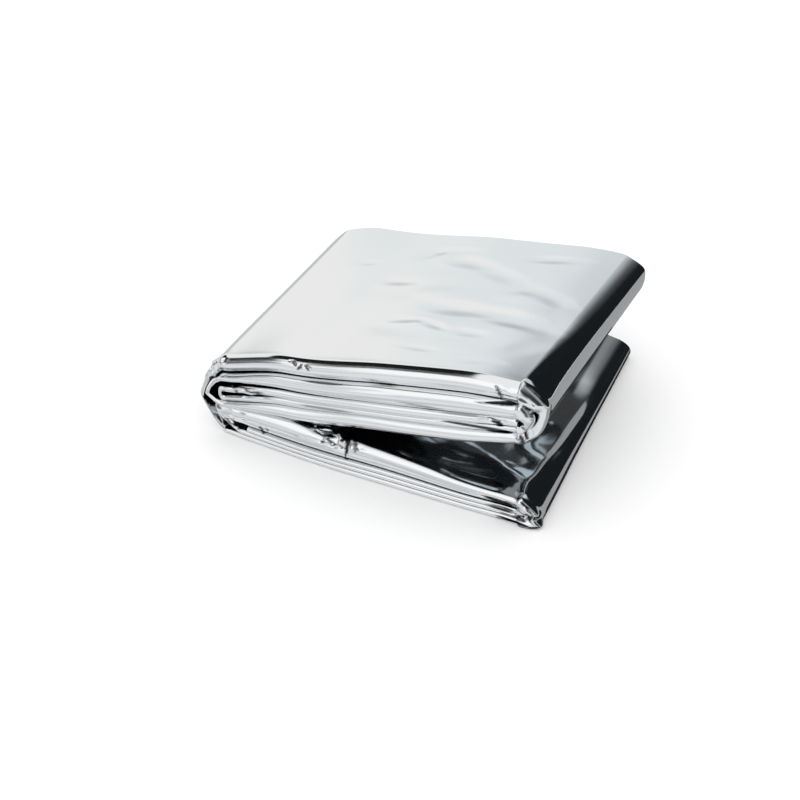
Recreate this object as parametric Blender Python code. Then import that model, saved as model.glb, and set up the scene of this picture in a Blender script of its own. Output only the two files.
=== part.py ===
"""Emergency foil blanket, folded small and lying a little open like a book.

The blanket is one sheet of metallised film, 2.13 m by 1.32 m. It is folded in half four
times into a strip of sixteen plies, 133 mm wide and 1.32 m long, and the strip is then
folded across in nine layers: five in the upper bundle and four in the lower one. The two
bundles share a spine on the left (-X) and gape on the right (+X).

The solid is that strip: one ribbon that runs back and forth through all nine layers. Its
outer face and its inner face are worked out station by station along the strip, and row
by row from the front edge (-Y) to the back edge (+Y). The sixteen plies aren't parted:
they are pressed together into the ribbon's thickness.
"""
from collections import namedtuple
import math

import bmesh
import bpy
import numpy as np

MM = 0.001
NODE_NAME = "foil_blanket"

FILM_COLOUR = (0.83, 0.84, 0.85, 1.0)
FILM_ROUGHNESS = 0.12
FILM_METALLIC = 1.0

# All the tables are in millimetres. X runs from the spine to the right, Y from the front
# to the back, and Z up from the surface that the blanket lies on.

# Distances from the spine at which the layers' sizes are given.
SECTIONS = (0.0, 32.0, 77.0, 110.0, 136.0)

# Layers from the bottom up: the name, then at each section the thickness and the air
# above it, first along the front edge and then along the back edge.
Layer = namedtuple("Layer", "name front_thick front_air back_thick back_air")
LAYERS = (
    Layer("L4", (1.6, 1.5, 1.7, 1.6, 2.0), (0.4, 0.4, 0.4, 0.4, 0.5),
          (2.6, 2.6, 2.1, 1.5, 1.1), (0.4, 0.4, 0.4, 0.4, 0.35)),
    Layer("L3", (1.6, 1.3, 1.6, 1.5, 1.6), (0.4, 0.4, 0.4, 0.4, 0.4),
          (2.6, 2.6, 2.1, 1.5, 1.1), (0.4, 0.4, 0.4, 0.4, 0.35)),
    Layer("L2", (1.4, 1.2, 1.6, 1.5, 1.6), (0.4, 0.4, 0.4, 0.5, 1.2),
          (2.6, 2.6, 2.1, 1.5, 1.1), (0.4, 0.4, 0.4, 0.4, 0.35)),
    Layer("L1", (7.6, 10.4, 8.3, 6.3, 4.0), (0.5, 1.4, 9.9, 18.1, 24.5),
          (3.7, 4.2, 3.0, 2.1, 1.3), (1.3, 4.2, 13.5, 23.4, 32.6)),
    Layer("U5", (1.5, 5.3, 6.5, 6.0, 5.2), (0.4, 0.4, 0.4, 0.4, 0.5),
          (3.4, 3.5, 4.0, 4.0, 3.4), (0.4, 0.4, 0.5, 0.5, 0.5)),
    Layer("U4", (2.6, 3.3, 2.5, 2.7, 2.4), (2.4, 0.7, 0.4, 0.5, 0.8),
          (3.3, 3.4, 3.9, 3.9, 3.4), (0.9, 0.5, 0.5, 0.5, 0.5)),
    Layer("U3", (3.1, 3.6, 4.2, 3.7, 3.6), (3.0, 1.3, 0.4, 0.4, 0.5),
          (3.2, 3.5, 4.0, 4.1, 3.5), (1.2, 0.6, 0.5, 0.5, 0.5)),
    Layer("U2", (2.4, 6.5, 8.4, 8.6, 6.6), (0.5, 0.4, 0.4, 0.5, 0.6),
          (3.3, 3.6, 4.4, 4.4, 3.6), (0.5, 0.5, 0.5, 0.5, 0.5)),
    Layer("U1", (7.2, 7.7, 8.2, 8.6, 7.8), (0.0, 0.0, 0.0, 0.0, 0.0),
          (4.6, 4.6, 4.9, 4.7, 4.2), (0.0, 0.0, 0.0, 0.0, 0.0)),
)

# The strip's runs in order, from its free end inside the upper bundle to its free end
# inside the lower one: the layer, which way it goes (-1 left, +1 right), and how far its
# front edge stands out beyond the others.
Run = namedtuple("Run", "name direction overhang")
RUNS = (
    Run("U3", -1, -0.2),
    Run("U4", 1, -1.0),
    Run("U2", -1, 0.8),
    Run("U5", 1, 0.4),
    Run("U1", -1, -0.6),
    Run("L4", 1, 1.1),
    Run("L1", -1, 0.6),
    Run("L3", 1, 0.6),
    Run("L2", -1, 0.2),
)
START_X = 136.5
END_X = 12.0

# The folds between the runs, in order: the x at which they start, how far the strip's
# outer and inner face reach beyond it, the share of the fold's height at which it
# reaches furthest, and how round it is above and below that: 1 is straight-sided, 2 an
# ellipse, and more is squarer.
Fold = namedtuple("Fold", "x outer_reach inner_reach apex round_above round_below")
FOLDS = (
    Fold(0.0, 1.9, 0.7, 0.45, 1.9, 1.7),
    Fold(136.0, 5.9, 2.4, 0.55, 2.0, 1.7),
    Fold(0.0, 8.0, 6.5, 0.27, 1.3, 1.2),
    Fold(136.0, 10.7, 7.5, 0.76, 6.0, 1.7),
    Fold(0.0, 12.0, 9.9, 0.45, 1.45, 1.1),
    Fold(140.0, 9.6, 6.8, 0.42, 3.2, 2.6),
    Fold(7.0, 12.5, 4.5, 0.85, 1.6, 1.15),
    Fold(140.0, 5.7, 3.5, 0.42, 1.5, 2.4),
)

# Folds that are more pressed at the front, by their place in the table above: their shape
# at the front edge, which turns into the one above towards the back.
FrontShape = namedtuple("FrontShape", "fold apex round_above round_below")
FRONT_SHAPES = (
    FrontShape(3, 0.68, 1.3, 2.1),
    FrontShape(5, 0.2, 1.42, 2.6),
)

# Each bundle seen from above: the strip's front and back edge at distances along X.
Outline = namedtuple("Outline", "x front back")
UPPER_OUTLINE = Outline(
    (-12.0, -7.0, 0.0, 14.0, 60.0, 115.0, 132.0, 141.0, 147.0),
    (1.0, 0.5, 0.0, -0.3, -0.5, 0.5, 2.0, 4.0, 8.0),
    (106.0, 117.0, 128.0, 134.0, 134.5, 129.5, 127.5, 122.5, 118.0))
LOWER_OUTLINE = Outline(
    (-12.0, -7.0, 0.0, 14.0, 60.0, 115.0, 134.0, 142.0, 150.0),
    (1.2, 1.2, 1.2, 0.2, -1.6, -1.6, -1.2, -1.2, 0.0),
    (106.0, 117.0, 128.0, 134.0, 137.0, 140.0, 139.5, 138.0, 134.0))

# The folds don't run square to the front edge. From the front to the back the spine
# shifts by this much along X, and so does each bundle's right-hand end.
SPINE_SHIFT = -4.5
UPPER_END_SHIFT = 0.0
LOWER_END_SHIFT = -11.5
RUN_LENGTH = 140.0

# How soon the puffed front of the bundles settles to the flat back: 1 is evenly.
SETTLING = 1.3

# Rows from the front to the back: the place across the strip, and the angle round the
# rounded edge there, from its tip at 0 to a right angle where the plain part begins.
PLAIN = 0.5 * math.pi
ROWS = (
    (0.0, 0.22), (0.0, 0.62), (0.0, 1.05), (0.0, PLAIN),
    (0.14, PLAIN), (0.30, PLAIN), (0.47, PLAIN), (0.64, PLAIN), (0.81, PLAIN),
    (1.0, PLAIN), (1.0, 0.8), (1.0, 0.25),
)
STEPS_PER_RUN = 10
STEPS_PER_FOLD = 8

# A cross-section point pair on the strip, with the share of the upper bundle's outline
# that it follows and its front edge's overhang.
Station = namedtuple("Station", "x_outer z_outer x_inner z_inner upper overhang")


def curve_through(positions, values, x):
    """Read a smooth curve through a short table, held level beyond its ends."""
    positions = np.array(positions)
    values = np.array(values)
    steps = np.diff(values) / np.diff(positions)
    same_way = steps[:-1] * steps[1:] > 0
    bend = np.where(same_way, 2 * steps[:-1] * steps[1:] / np.where(same_way, steps[:-1] + steps[1:], 1), 0)
    slopes = np.concatenate([steps[:1], bend, steps[-1:]])
    x = np.clip(x, positions[0], positions[-1])
    left = np.clip(np.searchsorted(positions, x) - 1, 0, len(positions) - 2)
    span = positions[left + 1] - positions[left]
    t = (x - positions[left]) / span
    from_left = (2 * t**3 - 3 * t**2 + 1) * values[left] + (t**3 - 2 * t**2 + t) * span * slopes[left]
    from_right = (3 * t**2 - 2 * t**3) * values[left + 1] + (t**3 - t**2) * span * slopes[left + 1]
    return from_left + from_right


def layer_faces(name, x, settled):
    """Heights of a layer's lower and upper face at x, between the front and the back."""
    top = 0.0
    for layer in LAYERS:
        base = top
        front = curve_through(SECTIONS, layer.front_thick, x)
        back = curve_through(SECTIONS, layer.back_thick, x)
        over = base + front + settled * (back - front)
        if layer.name == name:
            return base, over
        front = curve_through(SECTIONS, layer.front_air, x)
        back = curve_through(SECTIONS, layer.back_air, x)
        top = over + front + settled * (back - front)


def run_station(run, x, settled):
    """The strip's two faces at x on a run: the outer face is uppermost on the way left."""
    under, over = layer_faces(run.name, x, settled)
    outer, inner = (over, under) if run.direction < 0 else (under, over)
    return Station(x, outer, x, inner, float(run.name.startswith("U")), run.overhang)


def fold_at(index, settled):
    """A fold's shape, between the front and the back."""
    fold = FOLDS[index]
    for shape in FRONT_SHAPES:
        if shape.fold == index:
            fold = fold._replace(apex=shape.apex + settled * (fold.apex - shape.apex),
                                 round_above=shape.round_above + settled * (fold.round_above - shape.round_above),
                                 round_below=shape.round_below + settled * (fold.round_below - shape.round_below))
    return fold


def fold_stations(fold, before, after, direction):
    """The strip's two faces round a fold, each in two quarters of a superellipse."""
    for step in range(1, STEPS_PER_FOLD):
        angle = math.pi * step / STEPS_PER_FOLD
        share = 0.5 * (1 - math.cos(angle))
        points = []
        for start, end, reach in ((before.z_outer, after.z_outer, fold.outer_reach),
                                  (before.z_inner, after.z_inner, fold.inner_reach)):
            apex = min(start, end) + fold.apex * abs(start - end)
            target = start if step < STEPS_PER_FOLD / 2 else end
            roundness = fold.round_above if target > apex else fold.round_below
            along = math.sin(angle) ** (2 / roundness)
            across = abs(math.cos(angle)) ** (2 / roundness)
            points += [fold.x + direction * reach * along, apex + (target - apex) * across]
        yield Station(*points, before.upper + share * (after.upper - before.upper),
                      before.overhang + share * (after.overhang - before.overhang))


def strip_section(settled):
    """The whole strip in order, as an array with the columns of Station."""
    starts = [START_X] + [fold.x for fold in FOLDS]
    ends = [fold.x for fold in FOLDS] + [END_X]
    stations = []
    for index, run in enumerate(RUNS):
        places = np.linspace(starts[index], ends[index], STEPS_PER_RUN + 1)
        on_run = [run_station(run, x, settled) for x in places]
        if index > 0:
            before = stations[-1]
            fold = fold_at(index - 1, settled)
            stations.extend(fold_stations(fold, before, on_run[0], RUNS[index - 1].direction))
        stations.extend(on_run)
    return np.array(stations)


def outline_at(x, upper):
    """The strip's front and back edge at x, blended between the two bundles' outlines."""
    edges = []
    for field in ("front", "back"):
        above, below = (curve_through(outline.x, getattr(outline, field), x)
                        for outline in (UPPER_OUTLINE, LOWER_OUTLINE))
        edges.append(upper * above + (1 - upper) * below)
    return edges


def row_points(row, edge_angle):
    """Points of the strip's outer and inner face along one row, in millimetres."""
    settled = 1 - (1 - row) ** SETTLING
    x_outer, z_outer, x_inner, z_inner, upper, overhang = strip_section(settled).T
    x_mid, z_mid = 0.5 * (x_outer + x_inner), 0.5 * (z_outer + z_inner)
    half_x, half_z = x_outer - x_mid, z_outer - z_mid
    front, back = outline_at(x_mid, upper)
    front = front - overhang
    setback = np.hypot(half_x, half_z) * (1 - math.cos(edge_angle))
    y = front + row * (back - front) + (1 - 2 * row) * setback
    end_shift = upper * UPPER_END_SHIFT + (1 - upper) * LOWER_END_SHIFT
    share = np.clip(x_mid / RUN_LENGTH, 0, 1)
    shift = row * (SPINE_SHIFT + share * (end_shift - SPINE_SHIFT))
    faces = []
    for sign in (1, -1):
        x = x_mid + sign * math.sin(edge_angle) * half_x
        z = z_mid + sign * math.sin(edge_angle) * half_z
        faces.append(np.stack([x + shift, y, z], axis=1))
    return faces


def build_blanket():
    """Join the rows into one closed ribbon and stand it on its origin."""
    rows = [row_points(row, edge_angle) for row, edge_angle in ROWS]
    points = np.array(rows) * MM
    centre = 0.5 * (points.min(axis=(0, 1, 2)) + points.max(axis=(0, 1, 2)))
    points -= (centre[0], centre[1], 0.0)

    shape = bmesh.new()
    grid = [[[shape.verts.new(point) for point in face] for face in row] for row in points]
    row_count, station_count = len(grid), len(grid[0][0])

    def quad(*corners):
        shape.faces.new([grid[row][face][station] for row, face, station in corners])

    for row in range(row_count - 1):
        for station in range(station_count - 1):
            quad((row, 0, station), (row, 0, station + 1), (row + 1, 0, station + 1), (row + 1, 0, station))
            quad((row, 1, station), (row + 1, 1, station), (row + 1, 1, station + 1), (row, 1, station + 1))
        quad((row, 0, 0), (row + 1, 0, 0), (row + 1, 1, 0), (row, 1, 0))
        last = station_count - 1
        quad((row, 0, last), (row, 1, last), (row + 1, 1, last), (row + 1, 0, last))
    for station in range(station_count - 1):
        quad((0, 0, station), (0, 1, station), (0, 1, station + 1), (0, 0, station + 1))
        end = row_count - 1
        quad((end, 0, station), (end, 0, station + 1), (end, 1, station + 1), (end, 1, station))
    bmesh.ops.recalc_face_normals(shape, faces=shape.faces)
    bmesh.ops.triangulate(shape, faces=shape.faces)

    mesh = bpy.data.meshes.new(NODE_NAME)
    shape.to_mesh(mesh)
    shape.free()
    mesh.shade_smooth()
    mesh.set_sharp_from_angle(angle=math.radians(40))
    blanket = bpy.data.objects.new(NODE_NAME, mesh)
    bpy.context.scene.collection.objects.link(blanket)
    return blanket


def film_material():
    """Bright aluminium-coated film."""
    material = bpy.data.materials.new("silver_film")
    material.use_nodes = True
    shader = material.node_tree.nodes["Principled BSDF"]
    shader.inputs["Base Color"].default_value = FILM_COLOUR
    shader.inputs["Roughness"].default_value = FILM_ROUGHNESS
    shader.inputs["Metallic"].default_value = FILM_METALLIC
    return material


def main():
    for old in list(bpy.data.objects):
        bpy.data.objects.remove(old, do_unlink=True)
    blanket = build_blanket()
    blanket.data.materials.append(film_material())


main()
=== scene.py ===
"""The looks of an emergency foil blanket, folded small and lying open like a book.

The blanket is modelled as the one sheet of film that it is, 2.13 m by 1.32 m. The film is
folded in half four times into a strip of sixteen plies, and the strip is folded across in
nine layers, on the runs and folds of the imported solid. Every ply is there: the front edge
of each layer is one roll of nested folds, and the back edge shows the smaller folds and the
sheet's two long edges.
"""
from collections import namedtuple
import math

import bpy
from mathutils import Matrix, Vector
import numpy as np


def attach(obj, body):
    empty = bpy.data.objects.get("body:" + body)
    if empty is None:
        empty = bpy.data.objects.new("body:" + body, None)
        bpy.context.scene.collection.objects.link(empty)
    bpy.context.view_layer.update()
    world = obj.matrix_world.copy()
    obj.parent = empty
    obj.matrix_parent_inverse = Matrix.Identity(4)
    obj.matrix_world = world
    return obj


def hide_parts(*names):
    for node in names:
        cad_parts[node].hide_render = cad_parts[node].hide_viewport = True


MM = 0.001
NODE_NAME = "foil_blanket"

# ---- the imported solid's form
# These tables are the solid's own, in millimetres. X runs from the spine to the right, Y
# from the front to the back, and Z up. ORIGIN is the middle of its box, on the ground.
ORIGIN = (66.55, 68.65, 0.0)

# Distances from the spine at which the layers' sizes are given.
SECTIONS = (0.0, 32.0, 77.0, 110.0, 136.0)

# Layers from the bottom up: the name, then at each section the thickness and the air
# above it, first along the front edge and then along the back edge.
Layer = namedtuple("Layer", "name front_thick front_air back_thick back_air")
LOWER_BACK = (2.6, 2.6, 2.1, 1.5, 1.1), (0.4, 0.4, 0.4, 0.4, 0.35)
LAYERS = (
    Layer("L4", (1.6, 1.5, 1.7, 1.6, 2.0), (0.4, 0.4, 0.4, 0.4, 0.5), *LOWER_BACK),
    Layer("L3", (1.6, 1.3, 1.6, 1.5, 1.6), (0.4, 0.4, 0.4, 0.4, 0.4), *LOWER_BACK),
    Layer("L2", (1.4, 1.2, 1.6, 1.5, 1.6), (0.4, 0.4, 0.4, 0.5, 1.2), *LOWER_BACK),
    Layer("L1", (7.6, 10.4, 8.3, 6.3, 4.0), (0.5, 1.4, 9.9, 18.1, 24.5),
          (3.7, 4.2, 3.0, 2.1, 1.3), (1.3, 4.2, 13.5, 23.4, 32.6)),
    Layer("U5", (1.5, 5.3, 6.5, 6.0, 5.2), (0.4, 0.4, 0.4, 0.4, 0.5),
          (3.4, 3.5, 4.0, 4.0, 3.4), (0.4, 0.4, 0.5, 0.5, 0.5)),
    Layer("U4", (2.6, 3.3, 2.5, 2.7, 2.4), (2.4, 0.7, 0.4, 0.5, 0.8),
          (3.3, 3.4, 3.9, 3.9, 3.4), (0.9, 0.5, 0.5, 0.5, 0.5)),
    Layer("U3", (3.1, 3.6, 4.2, 3.7, 3.6), (3.0, 1.3, 0.4, 0.4, 0.5),
          (3.2, 3.5, 4.0, 4.1, 3.5), (1.2, 0.6, 0.5, 0.5, 0.5)),
    Layer("U2", (2.4, 6.5, 8.4, 8.6, 6.6), (0.5, 0.4, 0.4, 0.5, 0.6),
          (3.3, 3.6, 4.4, 4.4, 3.6), (0.5, 0.5, 0.5, 0.5, 0.5)),
    Layer("U1", (7.2, 7.7, 8.2, 8.6, 7.8), (0.0, 0.0, 0.0, 0.0, 0.0),
          (4.6, 4.6, 4.9, 4.7, 4.2), (0.0, 0.0, 0.0, 0.0, 0.0)),
)

# The strip's runs in order, from its free end inside the upper bundle to its free end
# inside the lower one: the layer, which way it goes (-1 left, +1 right), and how far its
# front edge stands out beyond the others.
Run = namedtuple("Run", "name direction overhang")
RUNS = (
    Run("U3", -1, -0.2),
    Run("U4", 1, -1.0),
    Run("U2", -1, 0.8),
    Run("U5", 1, 0.4),
    Run("U1", -1, -0.6),
    Run("L4", 1, 1.1),
    Run("L1", -1, 0.6),
    Run("L3", 1, 0.6),
    Run("L2", -1, 0.2),
)
START_X = 136.5
END_X = 12.0

# The folds between the runs, in order: the x at which they start, how far the strip's
# outer and inner face reach beyond it, the share of the fold's height at which it reaches
# furthest, and how round it is above and below that: 1 is straight-sided, 2 an ellipse.
Fold = namedtuple("Fold", "x outer_reach inner_reach apex round_above round_below")
FOLDS = (
    Fold(0.0, 1.9, 0.7, 0.45, 1.9, 1.7),
    Fold(136.0, 5.9, 2.4, 0.55, 2.0, 1.7),
    Fold(0.0, 8.0, 6.5, 0.27, 1.3, 1.2),
    Fold(136.0, 10.7, 7.5, 0.76, 6.0, 1.7),
    Fold(0.0, 12.0, 9.9, 0.45, 1.45, 1.1),
    Fold(140.0, 9.6, 6.8, 0.42, 3.2, 2.6),
    Fold(7.0, 12.5, 4.5, 0.85, 1.6, 1.15),
    Fold(140.0, 5.7, 3.5, 0.42, 1.5, 2.4),
)

# Folds that are more pressed at the front, by their place in the table above: the apex and
# the two roundnesses at the front edge, which turn into those above towards the back.
FRONT_SHAPES = {3: (0.68, 1.3, 2.1), 5: (0.2, 1.42, 2.6)}

# Each bundle seen from above: the strip's front and back edge at distances along X.
Outline = namedtuple("Outline", "x front back")
UPPER_OUTLINE = Outline(
    (-12.0, -7.0, 0.0, 14.0, 60.0, 115.0, 132.0, 141.0, 147.0),
    (1.0, 0.5, 0.0, -0.3, -0.5, 0.5, 2.0, 4.0, 8.0),
    (106.0, 117.0, 128.0, 134.0, 134.5, 129.5, 127.5, 122.5, 118.0))
LOWER_OUTLINE = Outline(
    (-12.0, -7.0, 0.0, 14.0, 60.0, 115.0, 134.0, 142.0, 150.0),
    (1.2, 1.2, 1.2, 0.2, -1.6, -1.6, -1.2, -1.2, 0.0),
    (106.0, 117.0, 128.0, 134.0, 137.0, 140.0, 139.5, 138.0, 134.0))

# From the front to the back the spine shifts by this much along X, and so does each
# bundle's right-hand end.
SPINE_SHIFT = -4.5
UPPER_END_SHIFT = 0.0
LOWER_END_SHIFT = -11.5
RUN_LENGTH = 140.0

# How soon the puffed front of the bundles settles to the flat back: 1 is evenly.
SETTLING = 1.3

# ---- the film's grid
HALVINGS = 4
PLIES = 2 ** HALVINGS

# Rows of points across the strip: on the outermost ply, which shows, on the innermost one,
# and on the fourteen hidden between them.
OUTER_ROWS = (0.003, 0.006, 0.009, 0.012, 0.015, 0.019, 0.024, 0.032, 0.044, 0.06, 0.079, 0.1,
              0.124, 0.15, 0.18, 0.213, 0.25, 0.29, 0.33, 0.37, 0.41, 0.45, 0.5, 0.55, 0.6, 0.65,
              0.7, 0.75, 0.8, 0.85, 0.9, 0.94, 0.97, 1.0)
INNER_ROWS = (0.02, 0.06, 0.13, 0.25, 0.4, 0.55, 0.7, 0.85, 0.96)
HIDDEN_ROWS = (0.5,)

# Points round each fold of the plies: the outermost front one, the back ones that show most,
# by how many plies' places they reach across, and the rest.
FRONT_FOLD_POINTS = 31
BACK_FOLD_POINTS = {7: 9, 3: 5}
SMALL_FOLD_POINTS = 3

# The front roll's cross-section: 2 is round, and more is squarer. It swells towards its
# neighbours by so much on the runs, on the left-hand folds and on the right-hand ones,
# within so far of the roll.
ROLL_SQUARENESS = 2.1
RUN_SWELL = 0.16
LEFT_FOLD_SWELL = 0.34
RIGHT_FOLD_SWELL = 1.2
SWELL_REACH = 5.0

# Where the hidden plies lie in the strip's thickness, as shares from its outer face to its
# inner one: in the front roll, and where they are pressed together in the middle.
NEST_IN_ROLL = (0.14, 0.46)
PRESSED = (0.32, 0.68)

# Points along the strip: how far apart they are where the film is plain, near the runs' ends
# and in crumpled stretches, and how many steps each fold has. The spacing is worked out at
# RUN_SAMPLES places on a run, and evened out over SPACING_BLEND of them (an odd number).
PLAIN_STEP = 3.8
END_STEP = 1.3
END_REACH = 12.0
CRUMPLED_STEP = 0.75
RUN_SAMPLES = 400
SPACING_BLEND = 25
Stretch = namedtuple("Stretch", "run x_from x_to")
CRUMPLED_STRETCHES = tuple(Stretch(*row) for row in (
    ("U1", 32.0, 46.0),
    ("U1", 122.0, 136.0),
    ("U2", 124.0, 136.0),
    ("U4", 121.0, 136.0),
    ("U3", 119.0, 136.5),
    ("U5", 128.0, 136.0),
    ("L1", 17.0, 25.0),
    ("L1", 44.0, 72.0),
    ("L1", 130.0, 140.0),
))
FOLD_STEPS = (10, 24, 18, 44, 24, 30, 16, 14)

# A station's run is a whole number, and a fold's is a half: what is pressed into a run goes
# on into the folds at its ends, up to this far from its number.
RUN_AND_ITS_FOLDS = 0.6

# ---- folds, dents, crumples
# Soft lines along the front rolls, in millimetres: on a run, from x to x, at a place round
# the roll (1 is its outer edge, 0 its tip, -1 its inner edge) that drifts by so much along
# the line, so deep, so wide, and fading out over its ends.
Groove = namedtuple("Groove", "run x_from x_to place drift depth width ends")
GROOVES = tuple(Groove(*row) for row in (
    ("U1", 4.0, 132.0, -0.45, 0.15, 0.5, 1.1, 12.0),
    ("U1", 78.0, 126.0, -0.05, -0.12, 0.25, 0.6, 16.0),
    ("U2", 52.0, 128.0, -0.2, 0.1, 0.4, 1.0, 18.0),
    ("U2", 20.0, 74.0, 0.25, 0.12, 0.3, 0.8, 14.0),
    ("U5", 40.0, 120.0, 0.35, 0.1, 0.3, 0.8, 14.0),
    ("L1", 8.0, 70.0, -0.15, 0.1, 0.7, 1.2, 12.0),
    ("L1", 60.0, 136.0, 0.1, -0.1, 0.4, 0.8, 12.0),
    ("U3", 122.0, 130.0, 0.0, 0.0, 1.6, 1.4, 4.0),
))

# Soft troughs in the broad faces: on a run, between two points seen from above.
Trough = namedtuple("Trough", "run start end width depth")
TROUGHS = tuple(Trough(*row) for row in (
    ("U1", (54.0, 41.0), (77.0, 36.0), 5.0, 0.35),
    ("U1", (73.0, 57.0), (128.0, 54.0), 6.5, 0.5),
    ("U1", (101.0, 84.0), (124.0, 73.0), 5.0, 0.4),
    ("U1", (50.0, 104.0), (73.0, 101.0), 6.0, 0.3),
    ("U1", (100.0, 112.0), (115.0, 110.0), 5.0, 0.3),
    ("U1", (91.0, 36.0), (109.0, 33.0), 4.0, 0.35),
    ("U1", (34.0, 75.0), (55.0, 76.0), 5.0, 0.25),
    ("L1", (104.0, 10.0), (118.0, 14.0), 3.0, 0.7),
    ("L1", (118.0, 20.0), (136.0, 12.0), 4.0, -0.8),
    ("L1", (134.0, 30.0), (137.0, 10.0), 10.0, -1.2),
    ("L1", (108.0, 2.0), (128.0, 3.0), 2.5, 0.6),
    ("L1", (88.0, 24.0), (110.0, 34.0), 5.0, 0.7),
    ("L1", (120.0, 40.0), (128.0, 60.0), 4.0, -0.6),
    ("L1", (44.0, 1.0), (56.0, 0.0), 5.0, 2.0),
    ("L1", (122.0, 98.0), (136.0, 84.0), 5.0, 0.3),
    ("L1", (112.0, 78.0), (128.0, 70.0), 4.0, 0.7),
))

# Crumpled places: the middle, the reach along X, Y and Z, how far the facets are pushed,
# their scale, and a shift of their pattern.
Crumple = namedtuple("Crumple", "name centre size amount scale turn")
CRUMPLES = tuple(Crumple(*row) for row in (
    ("upper right corner", (141.5, 3.0, 52.0), (5.5, 7.0, 6.0), 0.45, 0.9, 0.0),
    ("lower edge of that corner", (140.0, 3.0, 41.0), (4.5, 6.0, 4.5), 0.35, 0.8, 0.3),
    ("lower right corner", (144.0, 1.0, 6.0), (7.0, 6.0, 5.0), 0.7, 0.8, 0.1),
    ("buckle where the bundles part", (54.0, 1.0, 15.0), (9.0, 6.0, 4.0), 0.6, 0.8, 0.45),
    ("inside of the spine", (12.0, 0.0, 25.0), (8.0, 5.0, 3.0), 0.7, 0.6, 0.2),
    ("top of the spine", (-6.0, 1.0, 30.0), (6.0, 7.0, 8.0), 1.1, 0.6, 0.7),
    ("foot of the spine", (4.0, -1.0, 7.0), (7.0, 5.0, 4.0), 0.7, 0.7, 0.85),
))

# The facets' waves: the way across them, their length, their phase, and which way they push.
Facet = namedtuple("Facet", "across length phase push")
FACETS = (
    Facet((0.86, 0.31, 0.4), 9.0, 0.1, (0.1, -0.8, 0.5)),
    Facet((-0.35, 0.2, 0.91), 7.0, 0.35, (0.5, -0.7, 0.1)),
    Facet((0.7, -0.2, -0.68), 5.5, 0.7, (0.0, -0.6, 0.4)),
    Facet((0.5, 0.84, 0.2), 8.0, 0.2, (-0.3, 0.1, 0.6)),
)

# How the layers wander: over what length, with what height, and how far backwards and
# upwards. The first fades out within SWAY_DEPTH of the front, and the second grows from the
# ground up to SWAY_FOOT.
SWAY_DEPTH = 25.0
SWAY_FOOT = 6.0
Sway = namedtuple("Sway", "along upward phase back up")
SWAYS = (
    Sway(17.0, 6.0, 0.4, 0.14, 0.03),
    Sway(37.0, 9.0, 4.1, 0.3, 0.05),
)

# The upper bundle's front corners droop by so much, from x onwards, over so much of the
# length (towards the spine where it is negative) and of the depth, and only above a height.
Droop = namedtuple("Droop", "name amount x_from span depth base top")
DROOPS = (
    Droop("right corner", 3.6, 112.0, 35.0, 55.0, 36.0, 62.0),
    Droop("left corner", 1.5, 32.0, -36.0, 9.0, 30.0, 50.0),
)

# The top face turns down a little before its front edge, and the roll below it starts at
# that slope: how far it is pressed in, at distances from where the roll begins.
BROW_PLACES = (-12.5, -8.0, -3.5, -2.0, -1.0, 0.0, 0.5, 1.0, 1.6)
BROW_PRESSED = (0.0, 0.45, 0.92, 0.9, 0.7, 0.37, 0.18, 0.05, 0.0)

# Creases and ridges on the crumpled front: from (x, z) to (x, z), how far they reach to each
# side at either end, how deep they are (a negative depth stands out), and how strongly painted
# shade darkens the film along them, where shade falls into the fold. Their places are
# read on the plane y = CREASE_PLANE, along lines that slant by so much in x and z for each
# mm of y. The film is pressed in along them by CREASE_SHARE of the depth.
CREASE_PLANE = -1.0
CREASE_SLANT = (0.41, 0.79)
CREASE_REACH = 5.0
CREASE_SHARE = 0.5
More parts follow.
